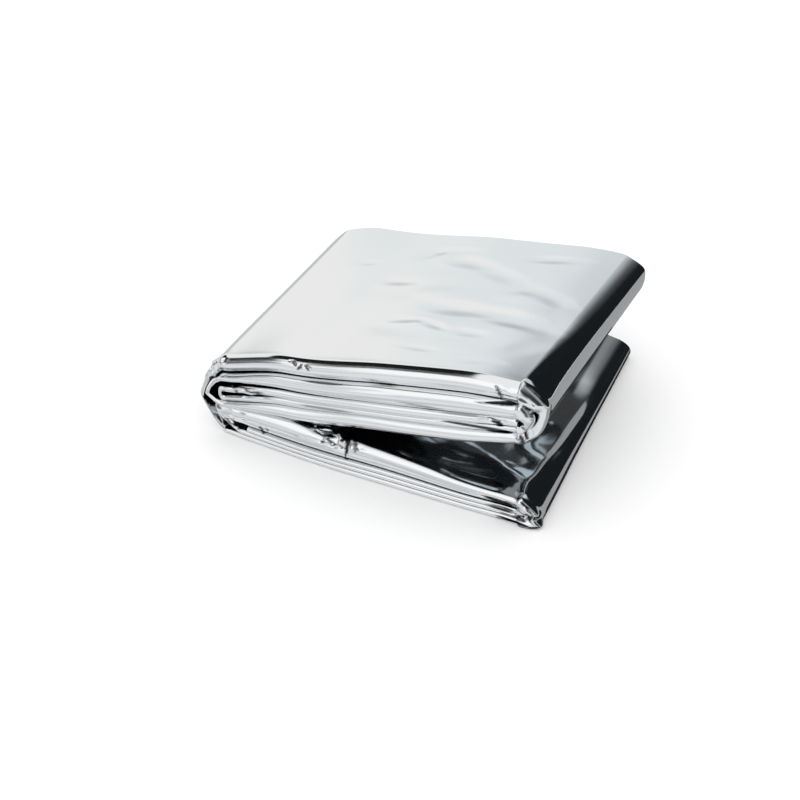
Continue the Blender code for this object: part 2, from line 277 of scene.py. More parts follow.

# A crease loses CREASE_SLOPE of its depth with each width from its line, and it narrows
# towards its ends. Its line of painted shade is so many widths to each side, with an edge so
# sharp, and stops so far back.
CREASE_SLOPE = 0.6
THINNEST_CREASE = 0.05
CREASE_TAPER = 4
PAINTED_SHADE_WIDTH = 1.25
PAINTED_SHADE_EDGE = 2.2
PAINTED_SHADE_REACH = 11.0
Crease = namedtuple("Crease", "name start end width_start width_end depth dulled")
CREASES = tuple(Crease(*row) for row in (
    # The upper right corner, and the line that runs into it.
    ("upright fold", (128.2, 64.8), (131.2, 59.3), 0.58, 1.02, 1.0, 0.85),
    ("upright fold, lit side", (132.2, 65.3), (135.0, 61.0), 0.89, 0.89, -0.6, 0.0),
    ("wedge", (121.7, 54.2), (138.2, 59.2), 0.27, 1.47, 2.0, 1.0),
    ("first", (137.9, 61.2), (142.2, 60.4), 0.93, 0.58, 1.4, 0.9),
    ("second", (140.6, 58.0), (144.4, 58.0), 0.58, 0.49, 1.2, 0.85),
    ("third", (143.0, 55.4), (146.3, 57.1), 0.71, 0.53, 1.2, 0.95),
    ("hook", (137.5, 51.0), (141.0, 49.4), 0.58, 0.84, 1.4, 0.95),
    ("arc above", (139.7, 48.3), (142.1, 46.9), 0.49, 0.58, 1.0, 0.8),
    ("arc below", (142.1, 46.9), (142.8, 42.5), 0.71, 0.62, 1.0, 0.95),
    ("lower facet", (139.7, 44.6), (141.6, 38.7), 0.76, 1.56, 1.4, 0.95),
    ("left line", (137.3, 44.4), (139.2, 40.8), 0.40, 0.40, 0.8, 0.55),
    ("lit ridge", (143.5, 60.3), (145.5, 57.6), 0.58, 0.58, -0.6, 0.0),
    ("oval dent", (125.3, 48.2), (132.1, 46.5), 0.93, 1.11, 1.5, 1.0),
    ("long line", (104.6, 40.1), (137.7, 44.4), 0.62, 0.76, 1.2, 0.95),
    # The lower bundle's right end.
    ("band", (124.0, 8.4), (138.3, 8.0), 0.71, 1.07, 1.6, 1.0),
    ("second band", (126.8, 4.7), (138.0, 5.3), 0.71, 1.11, 1.2, 0.75),
    ("bottom line", (129.7, 0.5), (145.3, -0.7), 0.36, 0.71, 1.0, 0.9),
    ("bottom band", (138.5, 2.9), (145.2, 1.9), 0.67, 0.98, 1.0, 0.8),
    ("between the flaps", (144.9, 8.8), (147.8, 3.6), 0.36, 0.53, 1.2, 0.6),
    # The notch in the top face's front edge.
    ("left", (35.8, 49.0), (37.9, 46.1), 0.62, 0.49, 1.0, 1.0),
    ("middle", (38.9, 44.9), (40.7, 48.6), 0.53, 0.58, 0.8, 0.9),
    ("right", (41.9, 48.8), (44.3, 45.7), 0.67, 0.71, 1.0, 0.95),
    # The inside of the spine.
    ("left", (1.0, 23.4), (3.3, 20.0), 0.49, 0.49, 0.8, 0.9),
    ("middle", (7.1, 26.1), (9.4, 22.7), 0.49, 0.49, 0.8, 0.8),
    ("right", (11.2, 28.4), (13.6, 26.0), 0.49, 0.49, 0.8, 0.8),
    ("lens", (14.8, 26.4), (23.2, 26.9), 0.67, 1.20, 1.0, 0.9),
    # The foot of the spine.
    ("dot", (18.8, 9.3), (20.7, 7.8), 0.71, 0.76, 1.0, 0.95),
    ("second dot", (22.1, 9.5), (23.7, 8.2), 0.58, 0.58, 0.8, 0.8),
    # The buckle where the bundles part.
    ("edge of the gap", (34.9, 17.4), (53.8, 20.1), 0.49, 1.20, 1.2, 0.95),
    ("hollow", (46.5, 16.2), (55.8, 16.1), 0.80, 1.87, 1.4, 0.85),
    ("left of the diamond", (51.5, 14.4), (56.2, 11.0), 0.93, 0.71, 1.0, 0.9),
    ("under the diamond", (54.7, 10.3), (60.2, 11.1), 0.58, 0.58, 1.0, 1.0),
    ("right side", (63.2, 23.1), (60.8, 6.7), 1.20, 0.76, 1.6, 1.0),
    ("slab", (65.1, 19.6), (65.6, 10.9), 1.16, 0.98, 0.6, 0.8),
    ("pit", (58.2, 16.3), (59.7, 14.6), 0.58, 0.58, 0.8, 0.9),
    ("dot", (49.2, 11.8), (50.9, 10.3), 0.76, 0.76, 1.0, 1.0),
    ("over the diamond", (56.4, 20.4), (61.1, 19.7), 0.76, 0.76, 1.0, 0.8),
    ("diamond", (56.8, 17.2), (61.5, 14.8), 1.78, 1.78, -1.0, 0.0),
    ("bump", (66.7, 12.1), (70.9, 12.7), 1.11, 1.11, -0.8, 0.0),
    # Stretches of the lines between the layers, shallow and darkened with painted shade.
    ("upper line", (43.9, 40.6), (58.1, 43.3), 0.76, 0.76, 0.4, 0.5),
    ("upper line, further right", (69.3, 49.7), (85.2, 51.5), 0.58, 0.58, 0.3, 0.5),
    ("third line", (38.7, 27.1), (63.4, 30.9), 0.58, 0.58, 0.3, 0.6),
    ("second line", (85.7, 43.1), (104.5, 45.4), 0.53, 0.53, 0.3, 0.5),
    ("fourth line", (103.6, 44.0), (125.5, 48.1), 0.44, 0.53, 0.3, 0.5),
    ("over the lens in the spine", (-3.7, 24.9), (14.4, 28.1), 0.49, 1.02, 0.6, 0.9),
))

# The notch between the two flaps at the lower front right corner: its height and half its
# height, from where along the length it starts and over how much of it, how deep it is at
# the end, and how far it reaches back.
Notch = namedtuple("Notch", "height half from_x span depth reach")
NOTCH = Notch(3.6, 2.4, 138.0, 11.0, 2.6, 6.0)

# Corners where the rolls' ends are pressed together: the middle, the reach along X, Y and Z,
# and how much of their unevenness goes.
PressedCorner = namedtuple("PressedCorner", "centre size share")
PRESSED_CORNERS = (
    PressedCorner((143.0, 0.0, 50.0), (10.0, 8.0, 16.0), 0.7),
    PressedCorner((146.0, 0.0, 6.0), (9.0, 8.0, 7.0), 0.5),
)

# Where the film counts as rolled, which the material reads: it fades out over so many
# millimetres to a share of the strip's thickness from the roll's tip.
ROLLED_SHARE = 0.75
ROLLED_REACH = 2.0


# ---- the film's mesh
def curve_through(positions, values, x):
    """Read a smooth curve through a short table, held level beyond its ends."""
    positions, values = np.array(positions), np.array(values)
    steps = np.diff(values) / np.diff(positions)
    same_way = steps[:-1] * steps[1:] > 0
    bend = np.where(same_way, 2 * steps[:-1] * steps[1:] / np.where(same_way, steps[:-1] + steps[1:], 1), 0)
    slopes = np.concatenate([steps[:1], bend, steps[-1:]])
    x = np.clip(x, positions[0], positions[-1])
    left = np.clip(np.searchsorted(positions, x) - 1, 0, len(positions) - 2)
    span = positions[left + 1] - positions[left]
    t = (x - positions[left]) / span
    from_left = (2 * t**3 - 3 * t**2 + 1) * values[left] + (t**3 - 2 * t**2 + t) * span * slopes[left]
    from_right = (3 * t**2 - 2 * t**3) * values[left + 1] + (t**3 - t**2) * span * slopes[left + 1]
    return from_left + from_right


def layer_faces(name, x, settled):
    """Heights of a layer's lower and upper face at x, between the front and the back."""
    top = np.zeros_like(x)
    for layer in LAYERS:
        base = top
        front = curve_through(SECTIONS, layer.front_thick, x)
        back = curve_through(SECTIONS, layer.back_thick, x)
        over = base + front + settled * (back - front)
        if layer.name == name:
            return base, over
        front = curve_through(SECTIONS, layer.front_air, x)
        back = curve_through(SECTIONS, layer.back_air, x)
        top = over + front + settled * (back - front)


def run_places(name, start, end):
    """Places along a run, close together near its ends and where the film is crumpled."""
    x = np.linspace(start, end, RUN_SAMPLES)
    near_end = (np.abs(x - start) < END_REACH) | (np.abs(x - end) < END_REACH)
    step = np.where(near_end, END_STEP, PLAIN_STEP)
    for stretch in CRUMPLED_STRETCHES:
        if stretch.run == name:
            step = np.where((x > stretch.x_from) & (x < stretch.x_to), CRUMPLED_STEP, step)
    padded = np.pad(1 / step, SPACING_BLEND // 2, mode="edge")
    density = np.convolve(padded, np.ones(SPACING_BLEND) / SPACING_BLEND, mode="valid")
    count = np.concatenate([[0], np.cumsum(0.5 * (density[1:] + density[:-1]) * np.abs(np.diff(x)))])
    return np.interp(np.linspace(0, count[-1], round(count[-1]) + 1), count, x)


# The strip's cross-section, station by station along it: the points of its outer and its
# inner face, the share of the upper bundle's outline that a station follows, and how far its
# front edge stands out.
Strip = namedtuple("Strip", "x_outer z_outer x_inner z_inner upper overhang")


def run_section(run, x, settled):
    """The part of the cross-section on a run."""
    under, over = layer_faces(run.name, x, settled)
    outer, inner = (over, under) if run.direction < 0 else (under, over)
    upper = np.full_like(x, float(run.name.startswith("U")))
    return Strip(x, outer, x, inner, upper, np.full_like(x, run.overhang))


def fold_section(index, before, after, settled):
    """The part of the cross-section on the fold between two runs."""
    fold, steps = FOLDS[index], FOLD_STEPS[index]
    angle = math.pi * np.arange(1, steps) / steps
    share = 0.5 * (1 - np.cos(angle))
    at_back = (fold.apex, fold.round_above, fold.round_below)
    at_front = FRONT_SHAPES.get(index, at_back)
    apex_share, round_above, round_below = (
        back + (1 - settled) * (front - back) for front, back in zip(at_front, at_back))
    ring = []
    for start, end, reach in ((before.z_outer[-1], after.z_outer[0], fold.outer_reach),
                              (before.z_inner[-1], after.z_inner[0], fold.inner_reach)):
        apex = min(start, end) + apex_share * abs(start - end)
        target = np.where(np.arange(1, steps) < steps / 2, start, end)
        roundness = np.where(target > apex, round_above, round_below)
        ring.append(fold.x + RUNS[index].direction * reach * np.sin(angle) ** (2 / roundness))
        ring.append(apex + (target - apex) * np.abs(np.cos(angle)) ** (2 / roundness))
    ring.append(before.upper[-1] + share * (after.upper[0] - before.upper[-1]))
    ring.append(before.overhang[-1] + share * (after.overhang[0] - before.overhang[-1]))
    return Strip(*ring)


def strip_section(settled, places):
    """The strip's cross-section from one end to the other, so far settled to the back."""
    on_runs = [run_section(run, x, settled) for run, x in zip(RUNS, places)]
    parts = on_runs[:1]
    for index, after in enumerate(on_runs[1:]):
        parts.append(fold_section(index, on_runs[index], after, settled))
        parts.append(after)
    return Strip(*(np.concatenate(column) for column in zip(*parts)))


def outline_at(x, upper):
    """The strip's front and back edge at x, blended between the two bundles' outlines."""
    edges = []
    for field in ("front", "back"):
        above, below = (curve_through(outline.x, getattr(outline, field), x)
                        for outline in (UPPER_OUTLINE, LOWER_OUTLINE))
        edges.append(upper * above + (1 - upper) * below)
    return edges


def folded_in_half(times):
    """The order in which the plies of a sheet lie after it is folded in half repeatedly."""
    columns = [[ply] for ply in range(2 ** times)]
    while len(columns) > 1:
        columns = [columns[i] + columns[-1 - i][::-1] for i in range(len(columns) // 2)]
    return columns[0]


# A column of the film's grid, along the whole strip: its row across the strip, its depth
# from the outer face (0) to the inner one (1), how far it is tucked in from the front and
# from the back edge, in thicknesses of the strip, its angle round the front roll (a right
# angle on the outer face, minus a right angle on the inner one), and whether it shows.
Column = namedtuple("Column", "row depth front_tuck back_tuck roll_angle shown")


def depth_in_roll(position):
    """Depth of a ply in the front roll, where each fold lies inside the one before it."""
    nested = min(position, PLIES - 1 - position)
    low, high = NEST_IN_ROLL
    depth = low + (high - low) * (nested - 1) / (PLIES / 2 - 2) if nested else 0.0
    return depth if position < PLIES / 2 else 1 - depth


def front_fold(start, end, count):
    """Columns round the front edge from one ply to the other."""
    size = abs(1 - 2 * depth_in_roll(start))
    way = 1 if start < end else -1
    for angle in np.linspace(0.5 * math.pi, -0.5 * math.pi, count) * way:
        rise = math.copysign(abs(math.sin(angle)) ** (2 / ROLL_SQUARENESS), angle)
        reach = max(math.cos(angle), 0.0) ** (2 / ROLL_SQUARENESS)
        yield Column(0.0, 0.5 - 0.5 * size * rise, 0.5 * (1 - size * reach), 0.0,
                     angle, {start, end} == {0, PLIES - 1})


def back_fold(start, end, count):
    """Columns round the back edge from one ply to the other."""
    first, last = start / (PLIES - 1), end / (PLIES - 1)
    middle, half = 0.5 * (first + last), 0.5 * (last - first)
    for angle in np.linspace(-0.5 * math.pi, 0.5 * math.pi, count):
        yield Column(1.0, middle + half * math.sin(angle), 0.5, abs(half) * (1 - math.cos(angle)),
                     0.5 * math.pi, False)


def ply_columns(position, rows):
    """Plain columns of a ply between its front and its back edge."""
    pressed = PRESSED[0] + (PRESSED[1] - PRESSED[0]) * (position - 1) / (PLIES - 3)
    for row in rows:
        depth = pressed if 0 < position < PLIES - 1 else float(position > 0)
        angle = 0.5 * math.pi if position < PLIES / 2 else -0.5 * math.pi
        yield Column(row, depth, 0.5, 0.0, angle, position in (0, PLIES - 1))


def film_columns():
    """All the columns in order, from one long edge of the sheet to the other."""
    stack = folded_in_half(HALVINGS)
    position_of = {ply: position for position, ply in enumerate(stack)}
    columns = []
    for ply in range(PLIES):
        position = position_of[ply]
        rows = {0: OUTER_ROWS, PLIES - 1: INNER_ROWS}.get(position, HIDDEN_ROWS)
        towards_front = ply % 2 == 0
        plain = list(ply_columns(position, rows[::-1] if towards_front else rows))
        if ply == PLIES - 1:  # the sheet's other long edge
            plain.append(Column(1.0, position / (PLIES - 1), 0.5, 0.0, 0.5 * math.pi, False))
        columns.extend(plain)
        if ply < PLIES - 1:
            other = position_of[ply + 1]
            span = abs(other - position)
            if towards_front:
                count = FRONT_FOLD_POINTS if span == PLIES - 1 else SMALL_FOLD_POINTS
                columns.extend(front_fold(position, other, count))
            else:
                count = BACK_FOLD_POINTS.get(span, SMALL_FOLD_POINTS)
                columns.extend(back_fold(position, other, count))
    return columns


def strip_places():
    """Places along X of the stations on each run."""
    starts = [START_X] + [fold.x for fold in FOLDS]
    ends = [fold.x for fold in FOLDS] + [END_X]
    return [run_places(run.name, start, end) for run, start, end in zip(RUNS, starts, ends)]


def strip_row(row, places):
    """The strip's cross-section at a row, from the front edge (0) to the back edge (1), with
    its front and back edge there, its shift along X and its thickness.
    """
    strip = strip_section(1 - (1 - row) ** SETTLING, places)
    x_mid = 0.5 * (strip.x_outer + strip.x_inner)
    front, back = outline_at(x_mid, strip.upper)
    end_shift = strip.upper * UPPER_END_SHIFT + (1 - strip.upper) * LOWER_END_SHIFT
    along = np.clip(x_mid / RUN_LENGTH, 0, 1)
    shift = row * (SPINE_SHIFT + along * (end_shift - SPINE_SHIFT))
    thick = np.hypot(strip.x_outer - strip.x_inner, strip.z_outer - strip.z_inner)
    return strip, front - strip.overhang, back, shift, thick


def station_runs(places):
    """Each station's run: its number, or a half between two numbers on a fold."""
    runs = []
    for index, x in enumerate(places):
        runs.extend([float(index)] * len(x))
        if index < len(FOLDS):
            runs.extend([index + 0.5] * (FOLD_STEPS[index] - 1))
    return np.array(runs)


# The film's points (column by station by coordinate), the direction into the strip at each,
# the distance round the front roll from its tip, the strip's thickness there, each
# station's run, and which columns show.
Grid = namedtuple("Grid", "points inward girth thick run shown")


def film_grid(columns, places):
    """The film as it is folded, before anything is pressed or crumpled."""
    rows = {}
    points, inward, girth, thickness = [], [], [], []
    for column in columns:
        share = column.row
        if share not in rows:
            rows[share] = strip_row(share, places)
        strip, front, back, shift, thick = rows[share]
        x_way, z_way = strip.x_inner - strip.x_outer, strip.z_inner - strip.z_outer
        x = strip.x_outer + column.depth * x_way + shift
        z = strip.z_outer + column.depth * z_way
        y = front + share * (back - front)
        y += (1 - share) * column.front_tuck * thick - share * column.back_tuck * thick
        points.append(np.stack([x, y, z], axis=1))
        across = np.stack([x_way, np.zeros_like(x), z_way], axis=1)
        across /= np.linalg.norm(across, axis=1)[:, None]
        angle = column.roll_angle
        inward.append(math.sin(angle) * across + math.cos(angle) * np.array([0, 1, 0]))
        side = 1 if angle > 0 else -1
        girth.append(0.5 * thick * angle + side * share * (back - front))
        thickness.append(thick)
    shown = np.array([column.shown for column in columns])
    arrays = (np.array(values) for values in (points, inward, girth, thickness))
    return Grid(*arrays, station_runs(places), shown)


def fade(x, low, high, soft):
    """1 between low and high, falling smoothly to 0 within soft beyond them."""
    outside = np.maximum(np.maximum(low - x, x - high), 0) / soft
    return np.clip(1 - outside, 0, 1) ** 2 * (1 + 2 * np.clip(outside, 0, 1))


def triangle_wave(t):
    """Straight slopes between -1 and 1, once per unit."""
    return 2 * np.abs(2 * (t - np.floor(t + 0.5))) - 1


def on_run(grid, name):
    """Which stations are on a run or on the folds at its ends."""
    number = [run.name for run in RUNS].index(name)
    return np.abs(grid.run - number) < RUN_AND_ITS_FOLDS


def roll_edge(grid):
    """Distance round the roll from its tip to where the broad faces begin."""
    return 0.25 * math.pi * grid.thick


def beside_line(places, start, end):
    """How far along the line from start to end each place is (0 to 1), and how far from it."""
    start, end = np.array(start), np.array(end)
    line = end - start
    offset = places - start
    share = np.clip(offset @ line / (line @ line), 0, 1)
    return share, np.linalg.norm(offset - share[:, :, None] * line, axis=2)


def nearness(points, centre, size):
    """1 at a place's middle, falling off with its reach along each axis."""
    offset = (points - np.array(centre)) / np.array(size)
    return np.exp(-(offset ** 2).sum(axis=2))


def swell_rolls(grid):
    """Swell the front rolls until they all but touch their neighbours."""
    beyond = np.abs(grid.girth) - roll_edge(grid)
    on_right = grid.points[:, :, 0] > RUN_LENGTH / 2
    on_fold = np.where(on_right, RIGHT_FOLD_SWELL, LEFT_FOLD_SWELL)
    swell = np.where(grid.run % 1 > 0, on_fold, RUN_SWELL)
    push = swell * fade(beyond, -np.inf, 0.0, SWELL_REACH) * grid.shown[:, None]
    grid.points[:] -= push[:, :, None] * grid.inward


def press_grooves(grid):
    """Press the soft lines into the front rolls."""
    for groove in GROOVES:
        x = grid.points[:, :, 0]
        along = fade(x, groove.x_from, groove.x_to, groove.ends) * on_run(grid, groove.run)
        share = np.clip((x - groove.x_from) / (groove.x_to - groove.x_from), 0, 1)
        middle = (groove.place + share * groove.drift) * roll_edge(grid)
        near = np.exp(-((grid.girth - middle) / groove.width) ** 2)
        push = groove.depth * along * near * grid.shown[:, None]
        grid.points[:] += push[:, :, None] * grid.inward


def press_troughs(grid):
    """Press the soft troughs into the broad faces that show."""
    outer = grid.shown[:, None] & (grid.girth > 0)
    for trough in TROUGHS:
        away = beside_line(grid.points[:, :, :2], trough.start, trough.end)[1]
        push = trough.depth * np.exp(-(away / trough.width) ** 2) * outer * on_run(grid, trough.run)
        grid.points[:] += push[:, :, None] * grid.inward


def turn_brow_down(grid):
    """Turn the top face down towards the fold along its front edge."""
    top = grid.shown[:, None] & on_run(grid, "U1")
    beyond = grid.girth - roll_edge(grid)
    push = np.where(beyond < BROW_PLACES[-1], curve_through(BROW_PLACES, BROW_PRESSED, beyond), 0)
    grid.points[:] += (push * top)[:, :, None] * grid.inward


def droop(points):
    """Let the upper bundle's front corners hang down."""
    x, y, z = np.moveaxis(points, 2, 0)
    moved = points.copy()
    for corner in DROOPS:
        along = np.clip((x - corner.x_from) / corner.span, 0, None) ** 2
        height = np.clip((z - corner.base) / (corner.top - corner.base), 0, 1)
        moved[:, :, 2] -= corner.amount * along * height * np.exp(-np.maximum(y, 0) / corner.depth)
    return moved


def sway(points):
    """Let the layers wander a little, as hand-folded film does."""
    x, y, z = np.moveaxis(points, 2, 0)
    at_front = np.exp(-np.maximum(y, 0) / SWAY_DEPTH)
    moved = points.copy()
    for wave in SWAYS:
        swing = np.sin(x / wave.along + z / wave.upward + wave.phase)
        moved[:, :, 1] += wave.back * at_front * swing
        moved[:, :, 2] += wave.up * np.clip(z / SWAY_FOOT, 0, 1) * swing
    return moved


def press_corners(points):
    """Press the ends of the rolls together at the front corners."""
    x, y = points[:, :, 0], points[:, :, 1]
    front = curve_through(UPPER_OUTLINE.x, UPPER_OUTLINE.front, x)
    deep = np.clip((y - front) / CREASE_REACH, 0, 1)
    moved = points.copy()
    for corner in PRESSED_CORNERS:
        strength = corner.share * nearness(points, corner.centre, corner.size)
        moved[:, :, 1] -= strength * CREASE_REACH * deep * (1 - deep) ** 2
    return moved


def crease(points):
    """Fold the creases and ridges into the crumpled front, and tell where shade is painted along them."""
    x, y, z = np.moveaxis(points, 2, 0)
    near_front = np.exp(-np.maximum(y - CREASE_REACH, 0) / CREASE_REACH)
    beyond_plane = y - CREASE_PLANE
    seen = np.stack([x + CREASE_SLANT[0] * beyond_plane, z + CREASE_SLANT[1] * beyond_plane], axis=2)
    moved = points.copy()
    dulled = np.zeros_like(x)
    for line in CREASES:
        share, away = beside_line(seen, line.start, line.end)
        width = line.width_start + share * (line.width_end - line.width_start)
        width = np.maximum(width * (1 - np.abs(2 * share - 1) ** CREASE_TAPER), THINNEST_CREASE)
        push = line.depth * np.clip(1 - CREASE_SLOPE * away / width, 0, 1) * near_front
        moved += push[:, :, None] * np.array((-CREASE_SLANT[0], 1.0, -CREASE_SLANT[1])) * CREASE_SHARE
        # Painted shade along the crease's line, darkening the film where shade falls into the fold.
        painted_shade_line = np.clip(PAINTED_SHADE_EDGE * (PAINTED_SHADE_WIDTH - away / width), 0, 1) * (y < PAINTED_SHADE_REACH)
        dulled = np.maximum(dulled, line.dulled * painted_shade_line)
    return moved, dulled


def crumple(points):
    """Buckle the crumpled places into flat facets, all the plies together."""
    moved = points.copy()
    for place in CRUMPLES:
        strength = place.amount * nearness(points, place.centre, place.size)
        for wave in FACETS:
            phase = points @ np.array(wave.across) / (wave.length * place.scale) + wave.phase + place.turn
            moved += (strength * triangle_wave(phase))[:, :, None] * np.array(wave.push)
    return moved


def notch(points):
    """Part the flaps at the lower front right corner."""
    x, y, z = np.moveaxis(points, 2, 0)
    along = np.clip((x - NOTCH.from_x) / NOTCH.span, 0, 1)
    strength = np.clip(1 - np.abs(z - NOTCH.height) / NOTCH.half, 0, 1) * np.clip(1 - y / NOTCH.reach, 0, 1)
    moved = points.copy()
    moved[:, :, 0] -= NOTCH.depth * along * strength
    return moved


def make_object(name, points, faces):
    """A mesh object in the scene, from lists of points and faces."""
    mesh = bpy.data.meshes.new(name)
    mesh.from_pydata(points, [], faces)
    made = bpy.data.objects.new(name, mesh)
    bpy.context.scene.collection.objects.link(made)
    return made


def faces_of(*corners):
    """Faces from four arrays of point numbers, one for each corner."""
    return np.stack(corners, axis=-1).reshape(-1, len(corners)).tolist()


def make_film():
    """The folded film as one mesh, with two measures that its material reads."""
    grid = film_grid(film_columns(), strip_places())
    swell_rolls(grid)
    press_grooves(grid)
    press_troughs(grid)
    turn_brow_down(grid)
    points, dulled = crease(press_corners(sway(droop(grid.points))))
    points = notch(crumple(points))
    points[:, :, 2] = np.maximum(points[:, :, 2], 0)
    points = (points - ORIGIN) * MM
    columns, stations = points.shape[:2]
    index = np.arange(columns * stations).reshape(columns, stations)
    quads = faces_of(index[:-1, :-1], index[1:, :-1], index[1:, 1:], index[:-1, 1:])
    film = make_object("film", points.reshape(-1, 3).tolist(), quads)
    film.data.shade_smooth()
    rolled = np.clip((ROLLED_SHARE * grid.thick - np.abs(grid.girth)) / ROLLED_REACH, 0, 1)
    # Besides how rolled the film is, the material reads the painted shade along the creases.
    for name, values in (("rolled", rolled), ("dulled", dulled)):
        film.data.attributes.new(name, "FLOAT", "POINT").data.foreach_set("value", values.ravel())
    return film


# ---- the film's material
# The mirror coat's colour, and the near-black of the painted shade in the creases.
COAT = (0.86, 0.87, 0.88, 1.0)
PAINTED_SHADE_COLOUR = (0.022, 0.025, 0.028, 1.0)

# How rough the mirror is on the broad faces and on the rolls, where folding has crazed it.
FACE_ROUGHNESS = 0.07
ROLL_ROUGHNESS = 0.2

# Soft marks pressed into the top face: between two points seen from above, so wide and so
# deep. They are read at one height, and reach so far above and below it.
Mark = namedtuple("Mark", "start end width depth")
MARKS = tuple(Mark(*row) for row in (
    ((34.7, 83.8), (51.2, 84.0), 5.6, 0.39),
    ((14.4, 97.2), (25.3, 101.3), 4.5, 0.31),
    ((41.9, 110.3), (48.5, 117.7), 6.8, 0.34),
    ((47.1, 117.6), (67.5, 118.2), 6.6, 0.36),
    ((57.4, 110.7), (76.8, 105.3), 8.2, 0.52),
    ((74.0, 104.8), (101.0, 89.3), 8.2, 0.50),
    ((89.2, 114.6), (124.3, 115.0), 5.2, 0.38),
    ((103.1, 86.4), (131.0, 72.2), 7.2, 0.42),
    ((57.5, 45.8), (73.6, 47.9), 4.4, 0.29),
    ((71.9, 47.6), (87.4, 40.5), 4.2, 0.38),
    ((68.5, 62.5), (97.8, 60.2), 8.6, 0.66),
    ((94.8, 60.8), (127.2, 51.8), 9.2, 0.70),
    ((89.1, 40.8), (108.4, 38.4), 5.0, 0.35),
    ((101.5, 51.8), (134.2, 48.8), 6.2, 0.31),
    ((103.9, 14.0), (124.1, 17.7), 4.0, 0.31),
    ((98.5, 76.6), (117.4, 75.6), 8.1, -0.35),
    ((58.0, 75.0), (84.0, 72.0), 10.0, -0.25),
    ((72.4, 22.8), (94.2, 20.4), 3.8, 0.21),
    ((118.2, 26.2), (130.9, 37.6), 7.5, 0.35),
))
MARK_HEIGHT = 50.0
MARK_REACH_UP = 42.0

# The film's own unevenness: the size of its waves and their height.
WAVE_SIZE = 34.0
WAVE_HEIGHT = 0.12


def set_sockets(tree, node, sockets):
    """Set each input of a node to its value, or link it where that is a node's output."""
    for name, value in sockets.items():
        if isinstance(value, bpy.types.NodeSocket):
            tree.links.new(value, node.inputs[name])
        else:
            node.inputs[name].default_value = value


def add_node(tree, kind, sockets, **settings):
    """A new shader node with its settings and its inputs."""
    node = tree.nodes.new("ShaderNode" + kind)
    for name, value in settings.items():
        setattr(node, name, value)
    set_sockets(tree, node, sockets)
    return node


def new_material(name):
    """A new material and its nodes."""
    material = bpy.data.materials.new(name)
    material.use_nodes = True
    return material, material.node_tree


def mark_height(tree, place, mark):
    """Height of a soft mark: a long blob along the mark's line."""
    start, end = Vector((*mark.start, MARK_HEIGHT)), Vector((*mark.end, MARK_HEIGHT))
    line = end - start
    own_place = add_node(tree, "Mapping", {
        "Vector": place,
        "Location": (0.5 * (start + end) - Vector(ORIGIN)) * MM,
        "Rotation": (0.0, 0.0, math.atan2(line.y, line.x)),
        "Scale": ((0.5 * line.length + mark.width) * MM, mark.width * MM, MARK_REACH_UP * MM),
    }, vector_type="TEXTURE")
    away = add_node(tree, "VectorMath", {0: own_place.outputs["Vector"]}, operation="LENGTH")
    pressed = add_node(tree, "MapRange", {
        "Value": away.outputs["Value"],
        "To Min": -mark.depth * MM,
        "To Max": 0.0,
    }, interpolation_type="SMOOTHSTEP")
    return pressed.outputs["Result"]


def film_material():
    """Metallised film: a mirror with slow waves, soft marks, crazed rolls and painted shade in the creases.
    """
    material, tree = new_material("silver_film")
    # Painted shade: the coat darkens towards near-black along the creases.
    dulled = add_node(tree, "Attribute", {}, attribute_name="dulled").outputs["Fac"]
    coat_and_painted_shade = add_node(tree, "Mix", {"A": COAT, "B": PAINTED_SHADE_COLOUR, "Factor": dulled}, data_type="RGBA")
    rolled = add_node(tree, "Attribute", {}, attribute_name="rolled").outputs["Fac"]
    roughness = add_node(tree, "MapRange", {
        "Value": rolled, "To Min": FACE_ROUGHNESS, "To Max": ROLL_ROUGHNESS})
    place = add_node(tree, "TexCoord", {}).outputs["Object"]
    waves = add_node(tree, "TexNoise", {"Vector": place, "Scale": 1 / (WAVE_SIZE * MM), "Detail": 1.0})
    height = add_node(tree, "Math", {0: waves.outputs["Fac"], 1: WAVE_HEIGHT * MM}, operation="MULTIPLY")
    for mark in MARKS:
        height = add_node(tree, "Math", {0: height.outputs[0], 1: mark_height(tree, place, mark)})
    relief = add_node(tree, "Bump", {"Distance": 1.0, "Height": height.outputs[0]})
    set_sockets(tree, tree.nodes["Principled BSDF"], {
        "Metallic": 1.0,
        "Base Color": coat_and_painted_shade.outputs["Result"],
        "Roughness": roughness.outputs["Result"],
        "Normal": relief.outputs["Normal"],
    })
    return material


# ---- the camera and studio
# In metres and degrees. The azimuth is 0 in front of the blanket and grows to the right.
CAMERA_AIM = (-0.00595, -0.01755, 0.00365)
CAMERA_DISTANCE = 0.802
CAMERA_AZIMUTH = 26.5
CAMERA_ELEVATION = 35.0
CAMERA_ANGLE = 25.0
CAMERA_NEAREST = 0.01
CAMERA_FARTHEST = 100.0


def make_camera():
    """The camera at the photograph's viewing angle."""
    azimuth, elevation = math.radians(CAMERA_AZIMUTH), math.radians(CAMERA_ELEVATION)
    back = Vector((math.sin(azimuth) * math.cos(elevation), -math.cos(azimuth) * math.cos(elevation),
                   math.sin(elevation)))
    camera = bpy.data.objects.new("camera", bpy.data.cameras.new("camera"))
    camera.location = Vector(CAMERA_AIM) + back * CAMERA_DISTANCE
    camera.rotation_mode = "QUATERNION"
    camera.rotation_quaternion = (-back).to_track_quat("-Z", "Y")
    camera.data.angle = math.radians(CAMERA_ANGLE)
    camera.data.clip_start = CAMERA_NEAREST
    camera.data.clip_end = CAMERA_FARTHEST
    bpy.context.scene.collection.objects.link(camera)
    bpy.context.scene.camera = camera


def glow_material(name, colour, strength):
    """A plain light, for the studio's dome and cards."""
    material, tree = new_material(name)
    tree.nodes.clear()
    glow = add_node(tree, "Emission", {"Color": (*colour, 1), "Strength": strength})
    add_node(tree, "OutputMaterial", {"Surface": glow.outputs[0]})
    return material


def reflected_only(obj):
    """Keep a light or card out of the camera's view, from casting shadows and off the floor."""
    obj.visible_camera = False
    obj.visible_shadow = False
    obj.visible_diffuse = False


